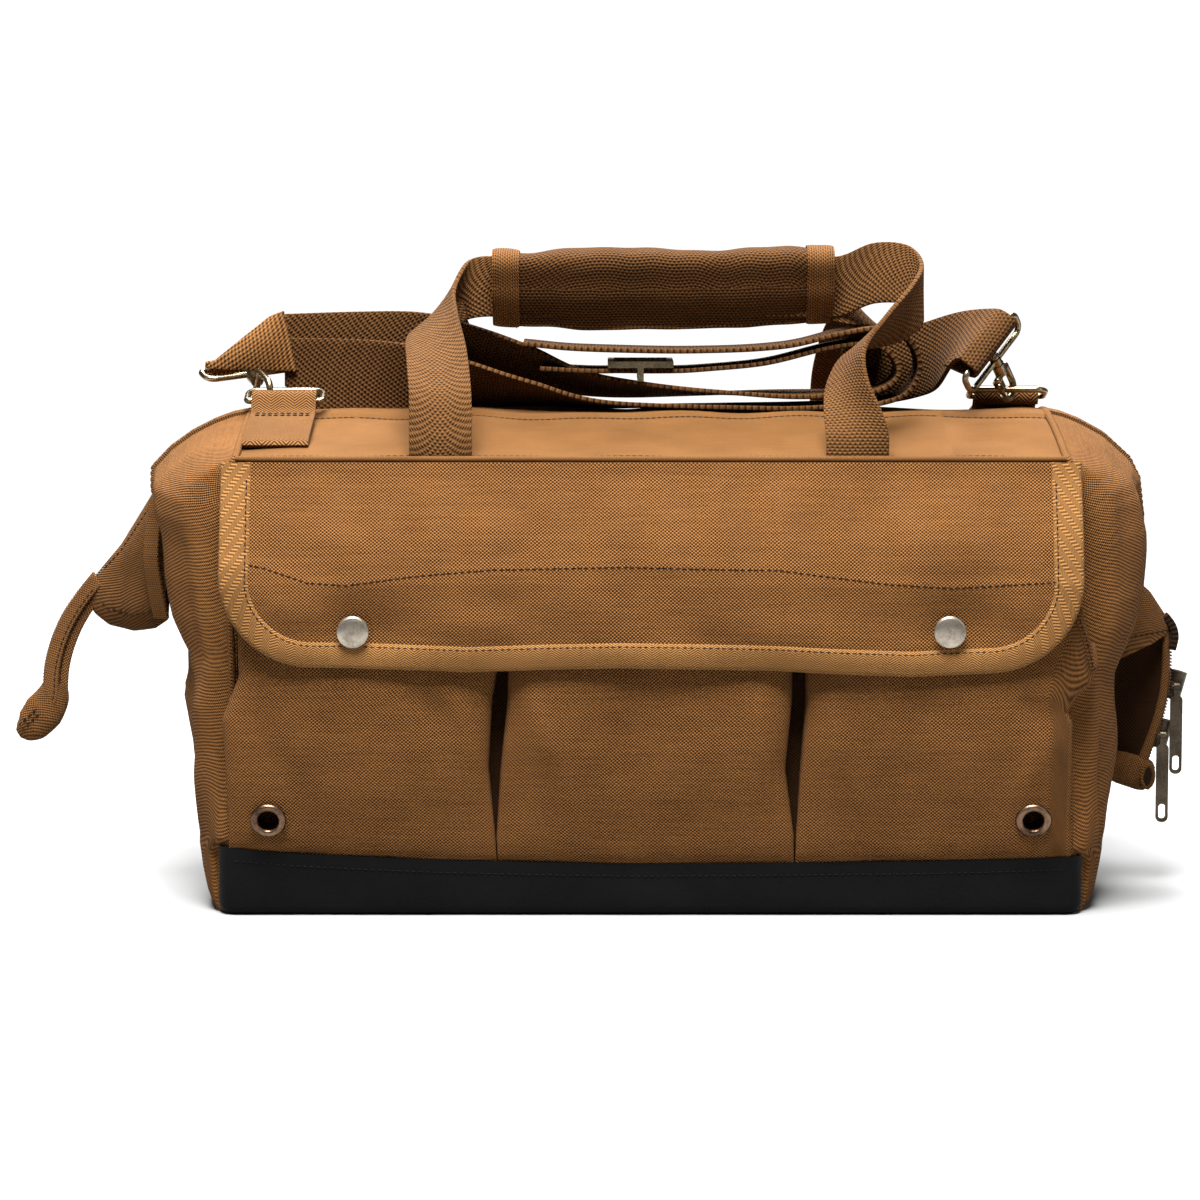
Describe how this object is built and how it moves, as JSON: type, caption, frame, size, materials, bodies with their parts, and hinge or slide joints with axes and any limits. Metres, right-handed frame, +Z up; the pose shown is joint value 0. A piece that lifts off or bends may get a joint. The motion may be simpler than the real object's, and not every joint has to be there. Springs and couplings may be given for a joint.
{
  "type": "tool bag",
  "caption": "Wide-mouth canvas tool bag with black base, snap flap over front pockets, zip top, wrapped carry grip and clip-on shoulder strap.",
  "frame": {"origin": "middle of the underside of the base, on the ground", "axes": "+X to the bag's right seen from the front, +Y from the front to the back, +Z up"},
  "size_m": [0.6101, 0.2372, 0.3333],
  "materials": {
    "base_cloth": "smooth black coated cloth",
    "board": "plain board",
    "canvas": "plain-weave duck canvas",
    "light_canvas": "lighter canvas and binding tape",
    "webbing": "ribbed cotton webbing",
    "zip": "zip tape with coil",
    "antique_brass": "antique brass plating",
    "bronze": "dark bronze plating",
    "pewter": "burnished nickel"
  },
  "bodies": {
    "bag": {"base": "base_cloth", "base_board": "board", "front_panel": "canvas", "rear_panel": "canvas", "left_end": "canvas", "right_end": "canvas", "top_front_border": "light_canvas", "top_rear_border": "light_canvas", "zip_ends": "zip", "left_pocket": "canvas", "middle_pocket": "canvas", "right_pocket": "canvas", "rear_pocket": "canvas", "pocket_hems": "light_canvas", "snap_studs": "pewter", "eyelets": "bronze", "front_handle": "webbing", "rear_handle": "webbing", "ring_tabs": "webbing", "left_loop": "antique_brass", "right_loop": "antique_brass", "strap_ends": "webbing", "strap_lower": "webbing", "strap_upper": "webbing", "strap_right": "webbing", "left_gusset": "canvas", "left_tail": "webbing", "left_tail_tab": "canvas", "right_gusset": "canvas", "right_tail": "canvas", "tail_zip": "zip"},
    "flap": {"flap": "canvas", "flap_binding": "light_canvas", "snap_caps": "pewter", "snap_sockets": "pewter"},
    "mouth_front": {"mouth_front": "light_canvas", "zip_front": "zip"},
    "mouth_rear": {"mouth_rear": "light_canvas", "zip_rear": "zip"},
    "grip": {"grip_wrap": "webbing", "grip_bindings": "light_canvas"},
    "left_ring": {"left_ring": "antique_brass"},
    "right_ring": {"right_ring": "antique_brass"},
    "left_hook": {"left_hook": "antique_brass"},
    "right_hook": {"right_hook": "antique_brass"},
    "left_gate": {"left_gate": "antique_brass"},
    "right_gate": {"right_gate": "antique_brass"},
    "adjuster": {"adjuster": "antique_brass"},
    "upper_slider": {"upper_slider": "antique_brass"},
    "lower_slider": {"lower_slider": "antique_brass"},
    "upper_pull": {"upper_pull": "antique_brass"},
    "lower_pull": {"lower_pull": "antique_brass"}
  },
  "joints": [
    {"name": "flap_lift", "type": "hinge", "parent": "bag", "child": "flap", "pos_m": [0, -0.104, 0.226], "axis": [-1, 0, 0], "range_deg": [0, 115]},
    {"name": "mouth_front_fold", "type": "hinge", "parent": "bag", "child": "mouth_front", "pos_m": [0, -0.0857, 0.23247], "axis": [-1, 0, 0], "range_deg": [0, 80]},
    {"name": "mouth_rear_fold", "type": "hinge", "parent": "bag", "child": "mouth_rear", "pos_m": [0, 0.0857, 0.23247], "axis": [1, 0, 0], "range_deg": [0, 80]},
    {"name": "grip_lift", "type": "slide", "parent": "bag", "child": "grip", "axis": [0, 0, 1], "range_m": [0, 0.02], "deforming": ["front_handle", "rear_handle"]},
    {"name": "left_ring_swing", "type": "hinge", "parent": "bag", "child": "left_ring", "pos_m": [-0.187, -0.0208, 0.25201], "axis": [1, 0, 0], "range_deg": [-3, 3]},
    {"name": "left_swivel", "type": "hinge", "parent": "bag", "child": "left_hook", "pos_m": [-0.19805, -0.00354, 0.25678], "axis": [-0.4412, 0.8297, 0.342], "range_deg": [-8, 8]},
    {"name": "left_gate_open", "type": "hinge", "parent": "left_hook", "child": "left_gate", "pos_m": [-0.20182, 0.00356, 0.25375], "axis": [-0.8829, -0.4695, 0], "range_deg": [0, 20], "stiffness_Nm_per_rad": 0.02, "springref_deg": -11.46},
    {"name": "right_ring_swing", "type": "hinge", "parent": "bag", "child": "right_ring", "pos_m": [0.187, 0.0208, 0.25201], "axis": [-1, 0, 0], "range_deg": [-3, 3]},
    {"name": "right_swivel", "type": "hinge", "parent": "bag", "child": "right_hook", "pos_m": [0.18653, 0.00385, 0.25725], "axis": [-0.3783, -0.5826, 0.7193], "range_deg": [-8, 8]},
    {"name": "right_gate_open", "type": "hinge", "parent": "right_hook", "child": "right_gate", "pos_m": [0.18187, -0.00333, 0.25805], "axis": [0.8387, -0.5446, 0], "range_deg": [0, 20], "stiffness_Nm_per_rad": 0.02, "springref_deg": -11.46},
    {"name": "adjuster_slide", "type": "slide", "parent": "bag", "child": "adjuster", "axis": [1, 0, 0], "range_m": [-0.008, 0.008]},
    {"name": "upper_slider_run", "type": "slide", "parent": "bag", "child": "upper_slider", "axis": [0.2588, 0, 0.9659], "range_m": [0, 0.012]},
    {"name": "upper_pull_swing", "type": "hinge", "parent": "upper_slider", "child": "upper_pull", "pos_m": [0.27493, -0.0065, 0.1025], "axis": [-1, 0, 0], "range_deg": [0, 150]},
    {"name": "lower_slider_run", "type": "slide", "parent": "bag", "child": "lower_slider", "axis": [0.2588, 0, 0.9659], "range_m": [-0.016, 0]},
    {"name": "lower_pull_swing", "type": "hinge", "parent": "lower_slider", "child": "lower_pull", "pos_m": [0.2681, -0.0065, 0.077], "axis": [-1, 0, 0], "range_deg": [0, 150]}
  ]
}
